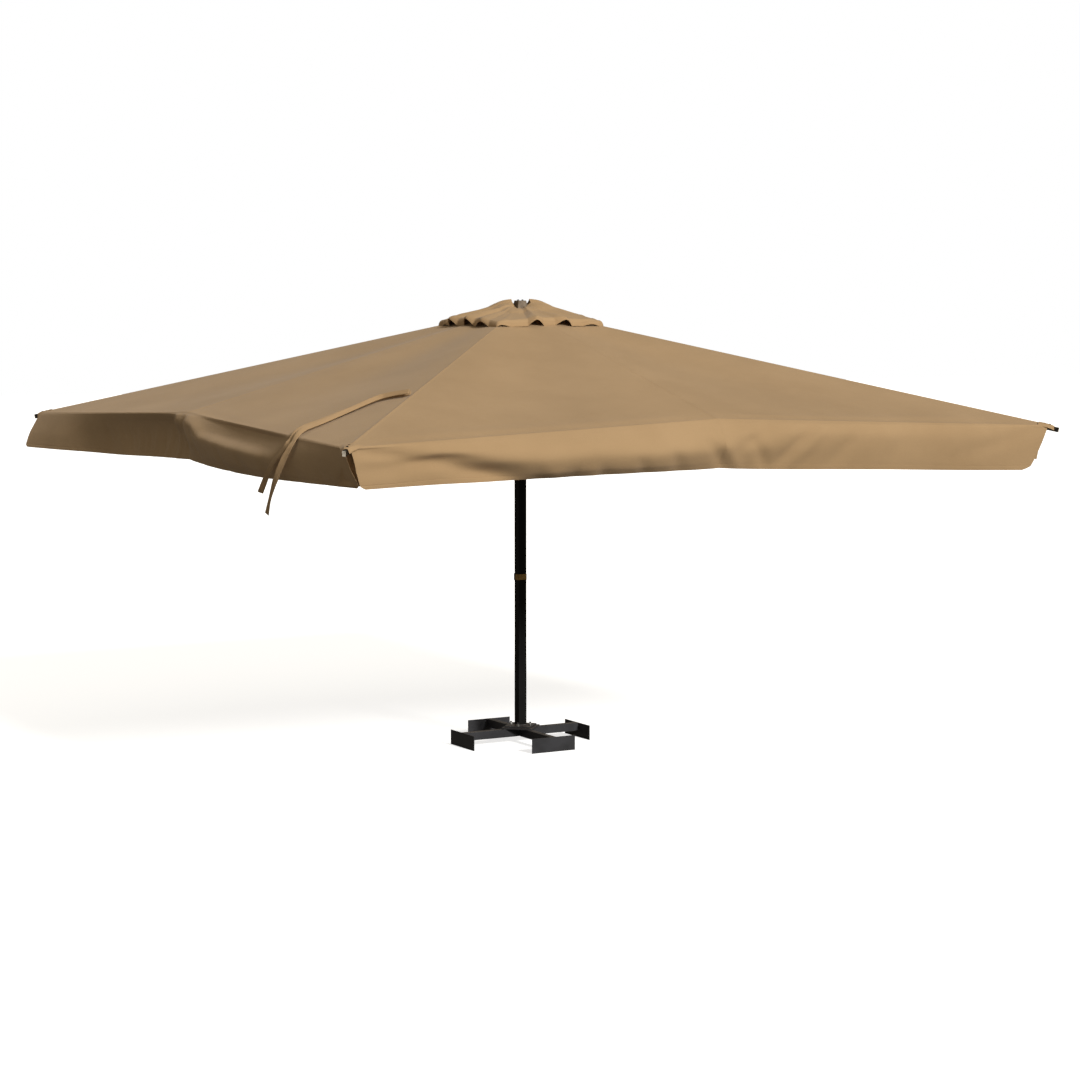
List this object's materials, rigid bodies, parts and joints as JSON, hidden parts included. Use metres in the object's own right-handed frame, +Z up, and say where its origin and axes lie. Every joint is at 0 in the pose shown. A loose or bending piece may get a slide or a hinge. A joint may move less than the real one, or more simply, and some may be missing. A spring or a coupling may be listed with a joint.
{
  "type": "market umbrella",
  "caption": "Large square market umbrella on a raised cross base: telescopic square mast, folding ribs and struts, vented cloth canopy with hanging valances.",
  "frame": {"origin": "on the ground, under the mast axis, which is the middle of the canopy", "axes": "+Z up along the mast; +X and +Y square to two neighbouring sides of the canopy; the clamp knob is on the +X side and the tie tapes are on the -X -Y seam"},
  "size_m": [5.075, 5.075, 3.0016],
  "materials": {
    "canopy_cloth": "matt woven beige canvas",
    "black_steel": "satin black powder coat",
    "frame_aluminium": "dark bronze anodised",
    "black_plastic": "moulded, fine grain",
    "bronze_plastic": "moulded, fine grain",
    "zinc_wire": "zinc plated"
  },
  "bodies": {
    "stand": {"outer_mast": "black_steel", "cross_arm_long": "black_steel", "cross_arm_back": "black_steel", "cross_arm_front": "black_steel", "foot_plate_right": "black_steel", "foot_plate_back": "black_steel", "foot_plate_left": "black_steel", "foot_plate_front": "black_steel", "base_plate": "black_steel", "mast_flange": "black_steel", "guide_bush": "black_plastic", "mast_strap": "canopy_cloth", "strut_hub": "black_plastic", "strut_hinge_ring": "zinc_wire"},
    "clamp": {"clamp_knob": "black_plastic"},
    "mast_head": {"inner_mast": "frame_aluminium", "crown": "black_plastic", "rib_hinge_ring": "zinc_wire", "crown_plate": "frame_aluminium", "top_cap": "bronze_plastic", "vent_cap": "canopy_cloth"},
    "arm_right": {"rib_right": "frame_aluminium", "panel_right": "canopy_cloth", "valance_right": "canopy_cloth"},
    "stay_right": {"strut_right": "frame_aluminium"},
    "arm_back_right": {"rib_back_right": "frame_aluminium", "panel_back_right": "canopy_cloth", "valance_back_right_a": "canopy_cloth", "valance_back_right_b": "canopy_cloth"},
    "stay_back_right": {"strut_back_right": "frame_aluminium"},
    "arm_back": {"rib_back": "frame_aluminium", "panel_back": "canopy_cloth", "valance_back": "canopy_cloth"},
    "stay_back": {"strut_back": "frame_aluminium"},
    "arm_back_left": {"rib_back_left": "frame_aluminium", "panel_back_left": "canopy_cloth", "valance_back_left_a": "canopy_cloth", "valance_back_left_b": "canopy_cloth"},
    "stay_back_left": {"strut_back_left": "frame_aluminium"},
    "arm_left": {"rib_left": "frame_aluminium", "panel_left": "canopy_cloth", "valance_left": "canopy_cloth"},
    "stay_left": {"strut_left": "frame_aluminium"},
    "arm_front_left": {"rib_front_left": "frame_aluminium", "panel_front_left": "canopy_cloth", "valance_front_left_a": "canopy_cloth", "valance_front_left_b": "canopy_cloth", "tie_tape_under": "canopy_cloth", "tie_tape_over": "canopy_cloth"},
    "stay_front_left": {"strut_front_left": "frame_aluminium"},
    "arm_front": {"rib_front": "frame_aluminium", "panel_front": "canopy_cloth", "valance_front": "canopy_cloth"},
    "stay_front": {"strut_front": "frame_aluminium"},
    "arm_front_right": {"rib_front_right": "frame_aluminium", "panel_front_right": "canopy_cloth", "valance_front_right_a": "canopy_cloth", "valance_front_right_b": "canopy_cloth"},
    "stay_front_right": {"strut_front_right": "frame_aluminium"}
  },
  "joints": [
    {"name": "mast_lift", "type": "slide", "parent": "stand", "child": "mast_head", "axis": [0, 0, 1], "range_m": [0, 1.2828], "deforming": ["vent_cap"]},
    {"name": "clamp_turn", "type": "hinge", "parent": "stand", "child": "clamp", "pos_m": [0.046, 0, 1.9], "axis": [1, 0, 0], "range_deg": [0, 720]},
    {"name": "rib_fold_right", "type": "hinge", "parent": "mast_head", "child": "arm_right", "pos_m": [0.075, 0, 2.912], "axis": [0, 1, 0], "range_deg": [0, 73.67], "deforming": ["panel_right", "valance_right"]},
    {"name": "strut_fold_right", "type": "hinge", "parent": "stand", "child": "stay_right", "pos_m": [0.062, 0, 2.15], "axis": [0, 1, 0], "range_deg": [-59.98, 0]},
    {"name": "rib_fold_back_right", "type": "hinge", "parent": "mast_head", "child": "arm_back_right", "pos_m": [0.05303, 0.05303, 2.912], "axis": [-0.7071, 0.7071, 0], "range_deg": [0, 74.06], "deforming": ["panel_back_right", "valance_back_right_a", "valance_back_right_b"]},
    {"name": "strut_fold_back_right", "type": "hinge", "parent": "stand", "child": "stay_back_right", "pos_m": [0.04384, 0.04384, 2.15], "axis": [-0.7071, 0.7071, 0], "range_deg": [-54.73, 0]},
    {"name": "rib_fold_back", "type": "hinge", "parent": "mast_head", "child": "arm_back", "pos_m": [0, 0.075, 2.912], "axis": [-1, 0, 0], "range_deg": [0, 73.67], "deforming": ["panel_back", "valance_back"]},
    {"name": "strut_fold_back", "type": "hinge", "parent": "stand", "child": "stay_back", "pos_m": [0, 0.062, 2.15], "axis": [-1, 0, 0], "range_deg": [-59.98, 0]},
    {"name": "rib_fold_back_left", "type": "hinge", "parent": "mast_head", "child": "arm_back_left", "pos_m": [-0.05303, 0.05303, 2.912], "axis": [-0.7071, -0.7071, 0], "range_deg": [0, 74.06], "deforming": ["panel_back_left", "valance_back_left_a", "valance_back_left_b"]},
    {"name": "strut_fold_back_left", "type": "hinge", "parent": "stand", "child": "stay_back_left", "pos_m": [-0.04384, 0.04384, 2.15], "axis": [-0.7071, -0.7071, 0], "range_deg": [-54.73, 0]},
    {"name": "rib_fold_left", "type": "hinge", "parent": "mast_head", "child": "arm_left", "pos_m": [-0.075, 0, 2.912], "axis": [0, -1, 0], "range_deg": [0, 73.67], "deforming": ["panel_left", "valance_left"]},
    {"name": "strut_fold_left", "type": "hinge", "parent": "stand", "child": "stay_left", "pos_m": [-0.062, 0, 2.15], "axis": [0, -1, 0], "range_deg": [-59.98, 0]},
    {"name": "rib_fold_front_left", "type": "hinge", "parent": "mast_head", "child": "arm_front_left", "pos_m": [-0.05303, -0.05303, 2.912], "axis": [0.7071, -0.7071, 0], "range_deg": [0, 74.06], "deforming": ["panel_front_left", "valance_front_left_a", "valance_front_left_b", "tie_tape_under", "tie_tape_over"]},
    {"name": "strut_fold_front_left", "type": "hinge", "parent": "stand", "child": "stay_front_left", "pos_m": [-0.04384, -0.04384, 2.15], "axis": [0.7071, -0.7071, 0], "range_deg": [-54.73, 0]},
    {"name": "rib_fold_front", "type": "hinge", "parent": "mast_head", "child": "arm_front", "pos_m": [0, -0.075, 2.912], "axis": [1, 0, 0], "range_deg": [0, 73.67], "deforming": ["panel_front", "valance_front"]},
    {"name": "strut_fold_front", "type": "hinge", "parent": "stand", "child": "stay_front", "pos_m": [0, -0.062, 2.15], "axis": [1, 0, 0], "range_deg": [-59.98, 0]},
    {"name": "rib_fold_front_right", "type": "hinge", "parent": "mast_head", "child": "arm_front_right", "pos_m": [0.05303, -0.05303, 2.912], "axis": [0.7071, 0.7071, 0], "range_deg": [0, 74.06], "deforming": ["panel_front_right", "valance_front_right_a", "valance_front_right_b"]},
    {"name": "strut_fold_front_right", "type": "hinge", "parent": "stand", "child": "stay_front_right", "pos_m": [0.04384, -0.04384, 2.15], "axis": [0.7071, 0.7071, 0], "range_deg": [-54.73, 0]}
  ],
  "couplings": [
    {"joint": "rib_fold_right", "follows": "mast_lift", "rad_per_m": 1.0016},
    {"joint": "strut_fold_right", "follows": "mast_lift", "rad_per_m": -0.81536},
    {"joint": "rib_fold_back_right", "follows": "mast_lift", "rad_per_m": 1.0069},
    {"joint": "strut_fold_back_right", "follows": "mast_lift", "rad_per_m": -0.744},
    {"joint": "rib_fold_back", "follows": "mast_lift", "rad_per_m": 1.0016},
    {"joint": "strut_fold_back", "follows": "mast_lift", "rad_per_m": -0.81536},
    {"joint": "rib_fold_back_left", "follows": "mast_lift", "rad_per_m": 1.0069},
    {"joint": "strut_fold_back_left", "follows": "mast_lift", "rad_per_m": -0.744},
    {"joint": "rib_fold_left", "follows": "mast_lift", "rad_per_m": 1.0016},
    {"joint": "strut_fold_left", "follows": "mast_lift", "rad_per_m": -0.81536},
    {"joint": "rib_fold_front_left", "follows": "mast_lift", "rad_per_m": 1.0069},
    {"joint": "strut_fold_front_left", "follows": "mast_lift", "rad_per_m": -0.744},
    {"joint": "rib_fold_front", "follows": "mast_lift", "rad_per_m": 1.0016},
    {"joint": "strut_fold_front", "follows": "mast_lift", "rad_per_m": -0.81536},
    {"joint": "rib_fold_front_right", "follows": "mast_lift", "rad_per_m": 1.0069},
    {"joint": "strut_fold_front_right", "follows": "mast_lift", "rad_per_m": -0.744}
  ]
}
